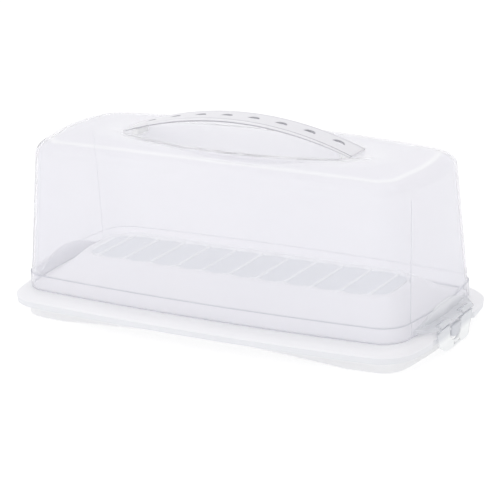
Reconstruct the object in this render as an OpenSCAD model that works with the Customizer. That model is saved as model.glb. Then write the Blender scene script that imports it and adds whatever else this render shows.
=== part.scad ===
// Loaf-cake carrier: ribbed tray, see-through hood with a carrying strap, and two end clips.
// Millimetres. X runs along the carrier, Y from front (-Y) to back, Z is up.
// The origin is the middle of the carrier on the surface that it stands on.

/* [Tray] */
// half length of the tray's rim where the ends meet the corners
tray_hl = 172.3; // [120:0.1:260]
// half width of the tray's rim where the sides meet the corners
tray_hw = 83.1; // [60:0.1:140]
// how far the ends of the rim bow outwards
tray_end_bow = 5; // [0:0.1:12]
// how far the long sides of the rim bow outwards
tray_side_bow = 5.4; // [0:0.1:12]
// corner radius of the rim
tray_r = 29; // [10:0.5:50]
// height of the ledge that carries the hood
ledge_z = 20.8; // [12:0.1:30]
// height of the rim's outer face below the ledge
rim_drop = 5.2; // [3:0.1:8]
// height of the rim's outer face
rim_h = 5; // [3:0.1:8]
// wall of the tray
tray_wall = 2.2; // [1.5:0.1:4]
// run of the sloping lip between ledge and rim face
lip_run = 8.5; // [4:0.1:14]

/* [Serving deck] */
// how far the ribbed deck's ends stand inside the hood's ends
deck_in_x = 30.4; // [26:0.1:60]
// how far the ribbed deck's sides stand inside the hood's sides
deck_in_y = 39.9; // [36:0.1:60]
// height of the deck's edge above the ledge
deck_up = 20.8; // [10:0.1:40]
// depth of the deck's floor below its edge
deck_sink = 1.6; // [0.8:0.1:4]
// number of ribs across the deck
rib_n = 11; // [5:1:17]
// distance from the deck's end to the first rib's middle
rib_end = 15; // [8:0.1:30]
// thickness of a rib
rib_t = 1.2; // [0.8:0.1:3]

/* [Foot] */
// how far the foot skirt stands inside the hood's ends
foot_in = 0.9; // [0:0.1:3]
// how far the foot skirt stands outside the hood's sides
foot_out = 2.7; // [0:0.1:5]
// wall of the foot skirt
foot_wall = 1.9; // [1.2:0.1:3]
// height of the finger gap under each long side
grip_h = 6.5; // [3:0.1:9]
// half length of the flat part of the finger gap
grip_hl = 40; // [20:1:120]
// length of the ramp at each end of the finger gap
grip_ramp = 82; // [10:1:90]

/* [Hood] */
// how far the hood's ends stand inside the ends of the rim
hood_in_x = 8.9; // [7:0.1:20]
// how far the hood's sides stand inside the sides of the rim
hood_in_y = 13.2; // [10:0.1:25]
// wall of the hood
hood_wall = 2; // [1.2:0.1:3.5]
// gap between hood and ledge
seat_gap = 0.3; // [0.1:0.1:1]
// height of the collar at the foot of the hood
collar_h = 11.5; // [5:0.5:20]
// how far the collar stands proud of the wall
collar_out = 0.9; // [0.4:0.1:2]
// how far the ends lean in from foot to shoulder
lean_x = 4; // [0:0.1:20]
// how far the sides lean in from foot to shoulder
lean_y = 11.2; // [0:0.1:25]
// radius of the shoulder
shoulder_r = 13; // [6:0.5:25]
// height of the crown
crown_z = 141.1; // [100:0.1:220]
// height of the shoulder line below the crown
shoulder_drop = 16; // [12:0.5:30]
// how far the finger recess in the crown reaches past the strap's ends
recess_past = 15.5; // [5:0.5:20]
// distance of the recess from the shoulder's crown edge
recess_in = 11.7; // [2:0.1:20]
// depth of the finger recess
recess_d = 16; // [6:0.5:20]

/* [Handle] */
// half length of the strap
strap_hl = 98.5; // [60:0.5:120]
// width of the strap
strap_w = 24.5; // [18:0.5:40]
// height of the strap's middle above the crown
strap_up = 17.4; // [12:0.1:40]
// rise of the strap from its ends to its middle
strap_rise = 18; // [10:0.1:40]
// thickness of the strap
strap_t = 2; // [1.6:0.1:4]
// depth of the lip along each edge of the strap
strap_lip = 2.8; // [2.4:0.1:8]
// distance from grip hole to grip hole
hole_pitch = 23.35; // [14:0.05:30]
// length of a grip hole
hole_l = 9.6; // [6:0.5:16]

/* [Clips] */
// distance of the hinge axis outside the corners of the rim's ends
hinge_out = 3.1; // [1:0.1:8]
// height of the hinge axis above the ledge
hinge_up = 2.3; // [1.8:0.1:8]
// half width of the hood's bracket at the wall
ear_hw = 45; // [20:0.5:60]
// rise of the bracket's arch-topped pad
ear_rise = 12; // [4:0.5:30]
// how far the pad stands proud of the wall
ear_pad = 1.4; // [0.6:0.1:4]
// depth of the bracket's root in the wall
ear_root = 1.3; // [0.5:0.1:1.8]
// how far the hinge bar reaches past the clip on each side
bar_past = 1.4; // [0.5:0.1:4]
// radius of the hinge bar
bar_r = 1.5; // [1:0.1:3]
// running clearance of the clip on the hinge bar
bar_gap = 0.06; // [0.02:0.01:0.1]
// outer radius of the clip's knuckles
knuckle_r = 2.9; // [2:0.1:5]
// half width of the clip at its top
clip_hw = 30; // [15:0.5:45]
// half width of the clip at its foot
clip_foot_hw = 25; // [12:0.5:40]
// height of the clip's lower edge
clip_low_z = 2.9; // [0.5:0.1:6]
// thickness of the clip's flap
clip_t = 2; // [1.4:0.1:3]
// half width of the window in the flap
window_hw = 9.2; // [5:0.1:16]
// height of the bar below the window
window_up = 4; // [2:0.1:10]
// gap between each side of the catch and the window
catch_gap = 1.7; // [0.8:0.1:3]
// gap between the catch and the window's lower edge
catch_low_gap = 2.2; // [1:0.1:4]
// how far the catch stands out of the flap
catch_out = 0.5; // [0:0.1:3]
// gap between flap and rim
flap_gap = 0.8; // [0.3:0.1:3]

/* [Hidden] */
rim_top_z = ledge_z - rim_drop;
rim_low_z = rim_top_z - rim_h;
hood_hl = tray_hl - hood_in_x;
hood_hw = tray_hw - hood_in_y;
foot_hl = hood_hl - foot_in;
foot_hw = hood_hw + foot_out;
shoulder_hl = hood_hl - lean_x;
shoulder_hw = hood_hw - lean_y;
shoulder_z = crown_z - shoulder_drop;
deck_hl = hood_hl - deck_in_x;
deck_hw = hood_hw - deck_in_y;
deck_z = ledge_z + deck_up;
rib_pitch = 2 * (deck_hl - rib_end) / (rib_n - 1);
recess_hl = strap_hl + recess_past;
recess_hw = shoulder_hw - shoulder_r - recess_in;
strap_top_z = crown_z + strap_up;
hinge_x = tray_hl + hinge_out;
hinge_z = ledge_z + hinge_up;
window_low_z = clip_low_z + window_up;
catch_low_z = window_low_z + catch_low_gap;

// shares of a side at which an outline has its points
end_f = [0, 0.28, 0.57, 0.62, 0.8, 1];
side_f = [1, 0.86, 0.67, 0.45, 0.22, 0];
// shares of the finger gap's ramp at which it has its points
grip_f = [0, 0.1, 0.25, 0.5, 0.75, 0.9, 1];
arc_n = 7;

hood_z = ledge_z + seat_gap;
hood_end_bow = 4;
hood_side_bow = 5.2;
hood_r = 21.4;
foot_r = 19;
deck_r = 20;
foot_top_z = ledge_z - tray_wall;
notch_x = hinge_x - clip_t / 2 - flap_gap;
flap_x = hinge_x - clip_t / 2;
strap_R = (pow(strap_hl, 2) + pow(strap_rise, 2)) / (2 * strap_rise);
strap_cz = strap_top_z - strap_R;
knuckle_in = window_hw + 1.4;
knuckle_out = clip_hw - 2.6;

// A quarter outline from the +X axis to the +Y axis: bowed end, round corner, bowed side.
// lim holds the end back where a clip needs room. With crease, the end wall meets the corner at a line.
function quarter(hl, hw, bl, bw, r, lim, crease) =
    let (
        a1 = crease ? 0 : atan(2 * bl / (hw - r)),
        a2 = atan(2 * bw / (hl - r)),
        cx = hl - r * cos(a1),
        cy = hw - r * cos(a2),
        y1 = cy + r * sin(a1),
        x1 = cx + r * sin(a2)
    )
    concat(
        [for (i = [0 : len(end_f) - 1])
            let (f = end_f[i], x = hl + bl * (1 - f * f)) [f < 0.6 ? min(x, lim) : x, f * y1]],
        [for (k = [1 : arc_n - 1])
            let (a = a1 + (90 - a2 - a1) * k / arc_n) [cx + r * cos(a), cy + r * sin(a)]],
        [for (i = [0 : len(side_f) - 1])
            let (f = side_f[i]) [f * x1, hw + bw * (1 - f * f)]]
    );

// The whole outline, counter-clockwise from the +X axis.
function outline(hl, hw, bl, bw, r, lim = 1000, crease = false) =
    let (q = quarter(hl, hw, bl, bw, r, lim, crease), n = len(q))
    concat(
        q,
        [for (i = [n - 2 : -1 : 0]) [-q[i][0], q[i][1]]],
        [for (i = [1 : n - 1]) [-q[i][0], -q[i][1]]],
        [for (i = [n - 2 : -1 : 1]) [q[i][0], -q[i][1]]]
    );

function ring(hl, hw, bl, bw, r, z, lim = 1000) =
    [for (p = outline(hl, hw, bl, bw, r, lim)) [p[0], p[1], z]];

// an outline of the hood: half length, half width, corner radius
function hood_outline(hl, hw, r) = outline(hl, hw, hood_end_bow, hood_side_bow, r, 1000, true);

function hood_ring(hl, hw, r, z) = [for (p = hood_outline(hl, hw, r)) [p[0], p[1], z]];

// A closed skin through rings of equal length: first ring capped above, last ring capped below.
module loft(rings) {
    n = len(rings[0]);
    m = len(rings);
    c0 = [0, 0, rings[0][0][2]];
    c1 = [0, 0, rings[m - 1][0][2]];
    pts = concat([for (g = rings) for (p = g) p], [c0, c1]);
    skin = [for (k = [0 : m - 2]) for (i = [0 : n - 1])
        let (j = (i + 1) % n, a = k * n + i, b = k * n + j, c = (k + 1) * n + j, d = (k + 1) * n + i)
        each [[a, b, c], [a, c, d]]];
    cap0 = [for (i = [0 : n - 1]) [m * n, (i + 1) % n, i]];
    cap1 = [for (i = [0 : n - 1]) [m * n + 1, (m - 1) * n + i, (m - 1) * n + (i + 1) % n]];
    polyhedron(points = pts, faces = concat(skin, cap0, cap1), convexity = 8);
}

// the bowed line of the hood's end at the bracket, from front to back, moved outwards by out
function end_line(out) = [for (i = [0 : 10])
    let (y = (i - 5) / 5 * ear_hw)
    [hood_hl + hood_end_bow * (1 - pow(y / (hood_hw - hood_r), 2)) + out, y]];

// height of the crown, which falls gently towards its edges
function crown(x, y) = crown_z - 3.6 * pow(abs(x) / 150, 2.4) - 2.2 * pow(abs(y) / 50, 2.2);

// one ring of the finger recess: g grows it outwards, s is its share of the full size
function recess_ring(s, g, drop) =
    [for (p = hood_outline(shoulder_hl, shoulder_hw, hood_r))
        let (
            a = atan2(p[1] / shoulder_hw, p[0] / shoulder_hl),
            x = s * (recess_hl + g) * cos(a),
            y = s * (recess_hw + g) * sign(sin(a)) * pow(abs(sin(a)), 1.1),
            deep = recess_d * pow(1 - s * s, 1.3)
        ) [x, y, crown(x, y) - deep - drop]];

// one ring of the crown between recess and shoulder
function crown_ring(t, g, drop) =
    let (
        o = hood_outline(shoulder_hl - shoulder_r - g, shoulder_hw - shoulder_r - g, hood_r - shoulder_r / 2),
        q = recess_ring(1, g, drop)
    )
    [for (i = [0 : len(o) - 1])
        let (x = o[i][0] * t + q[i][0] * (1 - t), y = o[i][1] * t + q[i][1] * (1 - t))
        [x, y, crown(x, y) - drop]];

// one ring of the round shoulder: a = 90 at the crown, 0 at the wall
function shoulder_ring(a, g) =
    let (
        in = shoulder_r * (1 - cos(a)),
        top = crown_ring(1, g, g),
        o = hood_outline(shoulder_hl - in - g, shoulder_hw - in - g, hood_r - in / 2 - g * 0.5)
    )
    [for (i = [0 : len(o) - 1]) [o[i][0], o[i][1], shoulder_z + (top[i][2] - shoulder_z) * sin(a)]];

module tray_base() {
    w = tray_wall;
    bl = tray_end_bow;
    bw = tray_side_bow;
    color([0.93, 0.93, 0.94])
    loft([
        ring(deck_hl - 1.5, deck_hw - 1.5, 0, 0, 18.5, deck_z - deck_sink),
        ring(deck_hl, deck_hw, 0, 0, 20, deck_z),
        ring(deck_hl + 2.5, deck_hw + 2.5, 0, 0, 22, deck_z),
        ring(deck_hl + 5, deck_hw + 6, 0.5, 0.5, 23, deck_z - 2.5),
        ring(deck_hl + 12, deck_hw + 17, 1.5, 2, 24, deck_z - 9.5),
        ring(deck_hl + 20, deck_hw + 28, 3, 4, 23, deck_z - 16.5),
        ring(hood_hl - hood_wall - 1.6, hood_hw - hood_wall - 1.6, hood_end_bow, hood_side_bow, 20, ledge_z),
        ring(tray_hl - lip_run + 1.2, tray_hw - lip_run, bl, bw, 24, ledge_z),
        ring(tray_hl - 4, tray_hw - 4.5, bl, bw, 27, ledge_z - 1.2),
        ring(tray_hl - 1, tray_hw - 1.2, bl, bw, 28.4, rim_top_z + 1.4, notch_x),
        ring(tray_hl, tray_hw, bl, bw, tray_r, rim_top_z, notch_x),
        ring(tray_hl, tray_hw, bl, bw, tray_r, rim_low_z, notch_x),
        ring(tray_hl - w, tray_hw - w, bl, bw, tray_r - w, rim_low_z, notch_x - w),
        ring(tray_hl - w, tray_hw - w, bl, bw, tray_r - w, rim_top_z - 0.6, notch_x - w),
        ring(tray_hl - 4.4, tray_hw - 5, bl, bw, 25, ledge_z - 1.2 - w, notch_x - w - 0.8),
        ring(tray_hl - lip_run, tray_hw - lip_run - 0.6, bl, bw, 23, foot_top_z),
        ring(foot_hl - 2.6, foot_hw - 6.5, hood_end_bow, hood_side_bow, 19, foot_top_z),
        ring(deck_hl + 19, deck_hw + 26.5, 3, 4, 22, deck_z - 16.5 - w),
        ring(deck_hl + 11, deck_hw + 15.5, 1.5, 2, 23, deck_z - 9.5 - w),
        ring(deck_hl + 4, deck_hw + 4.5, 0.5, 0.5, 22, deck_z - 2.9 - w),
        ring(deck_hl + 1, deck_hw + 1, 0, 0, 20, deck_z - deck_sink - w)
    ]);
}

module deck_ribs() {
    len_y = 2 * (deck_hw - 2.4);
    color([0.96, 0.96, 0.97])
    for (i = [0 : rib_n - 1])
        translate([(i - (rib_n - 1) / 2) * rib_pitch - rib_t / 2, -len_y / 2, deck_z - deck_sink])
            cube([rib_t, len_y, deck_sink]);
}

module foot_skirt() {
    wall = foot_wall;
    color([0.93, 0.93, 0.94])
    difference() {
        linear_extrude(foot_top_z)
            difference() {
                polygon(outline(foot_hl, foot_hw, hood_end_bow, hood_side_bow, foot_r));
                polygon(outline(foot_hl - wall, foot_hw - wall, hood_end_bow, hood_side_bow, foot_r - wall));
            }
        for (s = [-1, 1])
            translate([0, s * foot_hw, 0])
                rotate([90, 0, 0])
                    translate([0, 0, -foot_hw / 4])
                        linear_extrude(foot_hw / 2)
                            polygon(concat(
                                [[-grip_hl - grip_ramp, -1], [grip_hl + grip_ramp, -1]],
                                [for (f = grip_f) [grip_hl + grip_ramp * (1 - f), grip_h * pow(f, 0.8)]],
                                [for (f = grip_f) [-grip_hl - grip_ramp * f, grip_h * pow(1 - f, 0.8)]]
                            ));
    }
}

// The tongue on the rim that the clip's window drops over, at the +X end.
module catch_tongue() {
    hw = window_hw - catch_gap;
    top = ledge_z - 2;
    color([0.90, 0.90, 0.91])
    translate([notch_x, 0, 0])
        rotate([90, 0, 90])
            linear_extrude(hinge_x + clip_t / 2 + catch_out - notch_x)
                intersection() {
                    translate([-hw, catch_low_z])
                        square([2 * hw, top - catch_low_z]);
                    translate([0, catch_low_z + 1.47 * hw])
                        circle(r = 1.47 * hw, $fn = 64);
                }
}

module catch_right() {
    catch_tongue();
}

module catch_left() {
    mirror([1, 0, 0])
        catch_tongue();
}

module hood_shell() {
    t = hood_wall;
    color([0.90, 0.91, 0.93, 0.45])
    loft([
        recess_ring(0.12, 0, 0),
        recess_ring(0.4, 0, 0),
        recess_ring(0.68, 0, 0),
        recess_ring(0.88, 0, 0),
        recess_ring(1, 0, 0),
        crown_ring(0.5, 0, 0),
        crown_ring(1, 0, 0),
        shoulder_ring(66, 0),
        shoulder_ring(44, 0),
        shoulder_ring(22, 0),
        hood_ring(shoulder_hl, shoulder_hw, hood_r, shoulder_z),
        hood_ring(hood_hl - collar_out, hood_hw - collar_out, hood_r, hood_z + collar_h + 0.6),
        hood_ring(hood_hl, hood_hw, hood_r, hood_z + collar_h),
        hood_ring(hood_hl, hood_hw, hood_r, hood_z),
        hood_ring(hood_hl - t, hood_hw - t, hood_r - t, hood_z),
        hood_ring(hood_hl - t, hood_hw - t, hood_r - t, hood_z + collar_h),
        hood_ring(hood_hl - t - collar_out, hood_hw - t - collar_out, hood_r - t, hood_z + collar_h + 0.6),
        hood_ring(shoulder_hl - t, shoulder_hw - t, hood_r - t, shoulder_z),
        shoulder_ring(22, t),
        shoulder_ring(44, t),
        shoulder_ring(66, t),
        crown_ring(1, t, t),
        crown_ring(0.5, t, t),
        recess_ring(1, t, t),
        recess_ring(0.88, t, t),
        recess_ring(0.68, t, t),
        recess_ring(0.4, t, t),
        recess_ring(0.12, t, t)
    ]);
}

// The bracket on the hood's end that carries the hinge bar, at the +X end.
module ear() {
    high = 3 * hinge_z;
    bar_hw = clip_hw + bar_past;
    pad_r = (pow(ear_hw - 2, 2) + pow(ear_rise, 2)) / (2 * ear_rise);
    room_y = (knuckle_in + knuckle_out) / 2;
    room_w = knuckle_out - knuckle_in + 0.7;
    color([0.86, 0.87, 0.90])
    union() {
        difference() {
            intersection() {
                // plan: wide at the wall, narrower at the bar
                linear_extrude(high)
                    polygon(concat(end_line(-ear_root), [[hinge_x, bar_hw], [hinge_x, -bar_hw]]));
                // side: a plate that falls slightly outwards
                translate([0, ear_hw + 1, 0])
                    rotate([90, 0, 0])
                        linear_extrude(2 * ear_hw + 2)
                            polygon([
                                [hood_hl - 4, hinge_z + 2.4 * bar_r],
                                [hinge_x, hinge_z + bar_r],
                                [hinge_x, hinge_z - bar_r],
                                [hood_hl - 4, hinge_z - 0.4 * bar_r]
                            ]);
            }
            // room for the clip's knuckles
            for (s = [-1, 1])
                translate([hinge_x - knuckle_r - 0.5, s * room_y - room_w / 2, 0])
                    cube([knuckle_r + 2, room_w, high]);
        }
        // arch-topped pad that stiffens the bracket against the wall
        intersection() {
            linear_extrude(high)
                polygon(concat(end_line(-ear_root), [for (p = end_line(ear_pad)) [p[0], -p[1]]]));
            translate([hood_hl - 6, 0, 0])
                rotate([90, 0, 90])
                    linear_extrude(20)
                        intersection() {
                            translate([-ear_hw, hinge_z - 0.4])
                                square([2 * ear_hw, high]);
                            translate([0, hinge_z + ear_rise - pad_r])
                                circle(r = pad_r, $fn = 96);
                        }
        }
        // the hinge bar
        translate([hinge_x, bar_hw, hinge_z])
            rotate([90, 0, 0])
                cylinder(r = bar_r, h = 2 * bar_hw, $fn = 48);
    }
}

module ear_right() {
    ear();
}

module ear_left() {
    mirror([1, 0, 0])
        ear();
}

module handle() {
    fn = 360;
    hw = strap_w / 2;
    peg_x = strap_hl - 8;
    color([0.91, 0.91, 0.93])
    union() {
        difference() {
            // the arched strap
            translate([0, hw, strap_cz])
                rotate([90, 0, 0])
                    linear_extrude(strap_w)
                        intersection() {
                            difference() {
                                circle(r = strap_R, $fn = fn);
                                circle(r = strap_R - strap_lip, $fn = fn);
                            }
                            translate([-strap_hl, 0])
                                square([2 * strap_hl, strap_R + 1]);
                        }
            // hollow between the edge lips
            translate([0, hw - 1.7, strap_cz])
                rotate([90, 0, 0])
                    linear_extrude(strap_w - 3.4)
                        intersection() {
                            circle(r = strap_R - strap_t, $fn = fn);
                            translate([-strap_hl + 3, 0])
                                square([2 * strap_hl - 6, strap_R + 1]);
                        }
            // the grip holes
            for (i = [0 : 7])
                translate([(i - 3.5) * hole_pitch, 0, strap_top_z - 30])
                    linear_extrude(40)
                        intersection() {
                            translate([0, -hole_l / 2 + 2.7])
                                circle(r = hole_l / 2, $fn = 32);
                            translate([-hole_l / 2, -1.2])
                                square([hole_l, hole_l]);
                        }
        }
        // the tab at each end that snaps into the hood, its top inside the strap
        for (s = [-1, 1])
            translate([0, 8, strap_cz])
                rotate([90, 0, 0])
                    linear_extrude(16)
                        intersection() {
                            circle(r = strap_R - strap_t / 2, $fn = fn);
                            translate([s * peg_x - 3, crown_z - 9 - strap_cz])
                                square([6, 30]);
                        }
    }
}

// A clip at the +X end: flap with a window, hung from two knuckles.
module clip() {
    hw = clip_hw;
    z_top = hinge_z - knuckle_r - 0.4;
    color([0.93, 0.94, 0.95])
    difference() {
        union() {
            // the flap, seen from the side, cut to its outline seen from the end
            intersection() {
                translate([0, hw + 1, 0])
                    rotate([90, 0, 0])
                        linear_extrude(2 * hw + 2)
                            polygon([
                                [flap_x, hinge_z],
                                [flap_x, clip_low_z + 5.2],
                                [flap_x + 1.6, clip_low_z],
                                [flap_x + 1.6 + clip_t, clip_low_z],
                                [flap_x + clip_t, clip_low_z + 5.6],
                                [flap_x + clip_t, hinge_z]
                            ]);
                translate([flap_x - 5, 0, 0])
                    rotate([90, 0, 90])
                        linear_extrude(20)
                            union() {
                                polygon([
                                    [-hw, z_top],
                                    [-hw + 0.4, z_top - 4],
                                    [-clip_foot_hw - 1.2, clip_low_z + 7],
                                    [-clip_foot_hw + 0.8, clip_low_z + 3.4],
                                    [-clip_foot_hw + 4.2, clip_low_z + 0.8],
                                    [-clip_foot_hw + 8, clip_low_z],
                                    [clip_foot_hw - 8, clip_low_z],
                                    [clip_foot_hw - 4.2, clip_low_z + 0.8],
                                    [clip_foot_hw - 0.8, clip_low_z + 3.4],
                                    [clip_foot_hw + 1.2, clip_low_z + 7],
                                    [hw - 0.4, z_top - 4],
                                    [hw, z_top]
                                ]);
                                for (s = [-1, 1])
                                    translate([s * (knuckle_in + knuckle_out) / 2 - (knuckle_out - knuckle_in) / 2, z_top - 1])
                                        square([knuckle_out - knuckle_in, hinge_z - z_top + 1]);
                            }
            }
            // the knuckles
            for (s = [-1, 1])
                translate([hinge_x, s * (knuckle_in + knuckle_out) / 2 + (knuckle_out - knuckle_in) / 2, hinge_z])
                    rotate([90, 0, 0])
                        cylinder(r = knuckle_r, h = knuckle_out - knuckle_in, $fn = 64);
        }
        // bore for the bar
        translate([hinge_x, hw + 1, hinge_z])
            rotate([90, 0, 0])
                cylinder(r = bar_r + bar_gap, h = 2 * hw + 2, $fn = 48);
        // the slot that lets a knuckle snap over the bar
        translate([hinge_x, -hw - 1, hinge_z - 1])
            cube([knuckle_r + 1, 2 * hw + 2, 2]);
        // the window
        translate([flap_x - 5, 0, 0])
            rotate([90, 0, 90])
                linear_extrude(20)
                    intersection() {
                        translate([-window_hw, window_low_z])
                            square([2 * window_hw, 2 * hinge_z]);
                        union() {
                            translate([0, window_low_z + 1.3 * window_hw])
                                circle(r = 1.3 * window_hw, $fn = 64);
                            translate([-window_hw, window_low_z + 0.75 * window_hw])
                                square([2 * window_hw, 2 * hinge_z]);
                        }
                    }
    }
}

module clip_right() {
    clip();
}

module clip_left() {
    mirror([1, 0, 0])
        clip();
}

tray_base();
deck_ribs();
foot_skirt();
catch_right();
catch_left();
hood_shell();
ear_right();
ear_left();
handle();
clip_right();
clip_left();
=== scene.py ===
# %% [markdown]
# # A loaf-cake carrier, dressed round its CAD frame
#
# The real object is a long white tray with a ribbed deck, a milky see-through
# hood that stands on it, a carrying strap in the hood's crown and a clip at
# each end. The CAD model already holds every piece at its true place and size,
# so this script loads it as a fixed frame and gives each piece a smoother
# skin and a finish. All lengths below are in millimetres until a mesh is made.

# %% Load the fixed frame
import math

import bmesh
import bpy
import numpy as np
from mathutils import Matrix, Vector


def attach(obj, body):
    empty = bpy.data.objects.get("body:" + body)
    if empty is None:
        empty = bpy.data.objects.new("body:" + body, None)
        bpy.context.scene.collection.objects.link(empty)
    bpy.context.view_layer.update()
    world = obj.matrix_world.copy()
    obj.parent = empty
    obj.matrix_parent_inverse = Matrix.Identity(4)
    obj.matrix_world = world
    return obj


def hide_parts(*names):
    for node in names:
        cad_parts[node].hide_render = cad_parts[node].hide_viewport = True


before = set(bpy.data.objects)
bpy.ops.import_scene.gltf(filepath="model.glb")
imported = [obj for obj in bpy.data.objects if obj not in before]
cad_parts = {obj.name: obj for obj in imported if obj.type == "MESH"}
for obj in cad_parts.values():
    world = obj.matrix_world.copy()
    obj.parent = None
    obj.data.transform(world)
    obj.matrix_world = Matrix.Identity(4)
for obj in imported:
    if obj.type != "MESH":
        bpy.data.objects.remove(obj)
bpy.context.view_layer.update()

# %% [markdown]
# ## The camera comes first
#
# The picture that this model answers to was taken from the right of the front,
# a little above the carrier, with a long lens: the far end is hardly smaller
# than the near one. A camera can be placed by two angles, a distance and the
# point that it looks at, and a small roll then tips the picture.

# %% Place the camera
MM = 0.001
AZIMUTH, ELEVATION, ROLL = (math.radians(a) for a in (29.95, 17.85, -1.97))
DISTANCE, AIM, LENS = 1.7176, Vector((0.00426, 0, 0.0604)), 161.46

back = Vector(
    (
        math.sin(AZIMUTH) * math.cos(ELEVATION),
        -math.cos(AZIMUTH) * math.cos(ELEVATION),
        math.sin(ELEVATION),
    )
)
level = Vector((0, 0, 1)).cross(back).normalized()
upright = back.cross(level)
across = level * math.cos(ROLL) + upright * math.sin(ROLL)
upward = upright * math.cos(ROLL) - level * math.sin(ROLL)
camera = bpy.data.objects.new("camera", bpy.data.cameras.new("camera"))
camera.data.lens = LENS
camera.data.clip_end = 20
turn = Matrix((across, upward, back)).transposed().to_4x4()
camera.matrix_world = Matrix.Translation(AIM + back * DISTANCE) @ turn
bpy.context.scene.collection.objects.link(camera)
bpy.context.scene.camera = camera
print("camera stands at", [round(v, 3) for v in camera.matrix_world.translation])

# %% [markdown]
# ## Sizes
#
# These are the CAD source's own values. Each surface below is worked out from
# them, so a piece lands where the frame says, with no fitting by eye.

# %% Sizes of the carrier, in millimetres
TRAY_L, TRAY_W, TRAY_R = 172.3, 83.1, 29.0
TRAY_BOW = (5.0, 5.4)
LEDGE_Z, RIM_TOP, RIM_LOW = 20.8, 15.6, 10.6
WALL, LIP_RUN, NOTCH_X = 2.2, 8.5, 173.6
HOOD_L, HOOD_W, HOOD_R = 163.4, 69.9, 21.4
HOOD_BOW = (4.0, 5.2)
HOOD_Z, COLLAR_H, COLLAR_OUT, HOOD_WALL = 21.1, 11.5, 0.9, 2.0
SHOULDER_L, SHOULDER_W, SHOULDER_R = 159.4, 58.7, 13.0
CROWN_Z, SHOULDER_Z = 141.1, 125.1
RECESS_L, RECESS_W, RECESS_D = 114.0, 34.0, 16.0
DECK_L, DECK_W, DECK_Z, DECK_SINK = 133.0, 30.0, 41.6, 1.6
RIB_N, RIB_PITCH, RIB_T = 11, 23.6, 1.2
FOOT_L, FOOT_W, FOOT_R, FOOT_WALL, FOOT_TOP = 162.5, 72.6, 19.0, 1.9, 18.6
GRIP_H, GRIP_L, GRIP_RAMP = 6.5, 40.0, 82.0
STRAP_L, STRAP_W, STRAP_TOP, STRAP_R = 98.5, 24.5, 158.5, 278.5
STRAP_T, STRAP_LIP, HOLE_PITCH, HOLE_L = 2.0, 2.8, 23.35, 9.6
HINGE_X, HINGE_Z, BAR_R, KNUCKLE_R = 175.4, 23.1, 1.5, 2.9
FLAP_X, FLAP_T, FLAP_LOW, WINDOW_HW = 174.4, 2.0, 2.9, 9.2
EAR_HW, EAR_RISE, EAR_PAD, EAR_ROOT, BAR_HW = 45.0, 12.0, 1.4, 1.3, 31.4
KNUCKLE_IN, KNUCKLE_OUT, KNUCKLE_ROOM = 10.6, 27.4, 0.35
HOLE_N, HOLE_FRONT, HOLE_BACK = 8, -1.2, 2.7
print("strap rises", STRAP_TOP - CROWN_Z, "mm over the crown")

# %% [markdown]
# ## Meshes from grids of points
#
# Nearly every piece here is a skin through a stack of rings, as a potter would
# see it. A grid of points, rings by points per ring, is worked out at once
# with numpy, and one helper turns it into a closed mesh. Faces point outwards
# when the rings run counter-clockwise and the stack runs from the top down
# the outside and back up the inside.


# %% Turn a stack of rings into a closed mesh
def make_piece(name, points, faces, body, slot, stands_for, smooth=True):
    """Makes a mesh object from points in mm, lets it ride on a body and hides the nodes it stands for."""
    mesh = bpy.data.meshes.new(name)
    mesh.from_pydata((np.asarray(points) * MM).tolist(), [], faces)
    mesh.validate()
    mesh.polygons.foreach_set("use_smooth", np.full(len(mesh.polygons), smooth))
    piece = bpy.data.objects.new(name, mesh)
    bpy.context.scene.collection.objects.link(piece)
    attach(piece, body)
    if stands_for:
        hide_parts(*stands_for)
    print(f"{name}: {len(mesh.vertices)} points, {len(mesh.polygons)} faces")
    return piece


def ring_faces(rings, count, start=0, loop=False):
    """Quads between neighbouring rings of `count` points each; with loop, the last ring joins the first."""
    k = np.arange(rings if loop else rings - 1)[:, None]
    i = np.arange(count)[None, :]
    j, below = (i + 1) % count, (k + 1) % rings
    quads = np.stack(
        [k * count + i, below * count + i, below * count + j, k * count + j], -1
    )
    return (quads.reshape(-1, 4) + start).tolist()


def grid_quads(shape):
    """Quads between the points of a grid, counter-clockwise if its axes run right and up."""
    n = np.arange(shape[0] * shape[1]).reshape(shape)
    return np.stack([n[:-1, :-1], n[1:, :-1], n[1:, 1:], n[:-1, 1:]], -1).reshape(-1, 4)


def fan_faces(centre, first, count, flip):
    """Triangles from a centre point to a ring of `count` points."""
    i = np.arange(count)
    j = (i + 1) % count
    fan = np.stack([np.full(count, centre), first + i, first + j], -1)
    return (fan[:, ::-1] if flip else fan).tolist()


def lofted(grid):
    """Points and faces of a stack of rings whose two ends are closed by a middle point each."""
    rings, count, _ = grid.shape
    ends = np.stack([grid[0].mean(0), grid[-1].mean(0)])
    points = np.concatenate([grid.reshape(-1, 3), ends])
    faces = ring_faces(rings, count)
    faces += fan_faces(rings * count, 0, count, False)
    faces += fan_faces(rings * count + 1, (rings - 1) * count, count, True)
    return points, faces


# %% [markdown]
# ## The outline that the whole carrier shares
#
# Tray, foot and hood all have the same plan: a long rounded rectangle whose
# four sides bow outwards a little. A quarter of it is a bowed end, a corner
# arc and a bowed side. The corner arc starts in the direction in which the
# bowed end arrives, except on the hood, where the two meet at a line.


# %% The shared outline
END = np.concatenate(
    [np.linspace(0, 0.55, 12), np.linspace(0.565, 0.635, 8), np.linspace(0.67, 0.97, 8), [0.987, 1]]
)
ARC = np.concatenate([[0.019], np.linspace(0, 1, 26)[1:-1]])
SIDE = np.linspace(1, 0, 34)
QUARTER = len(END) + len(ARC) + len(SIDE)


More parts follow.
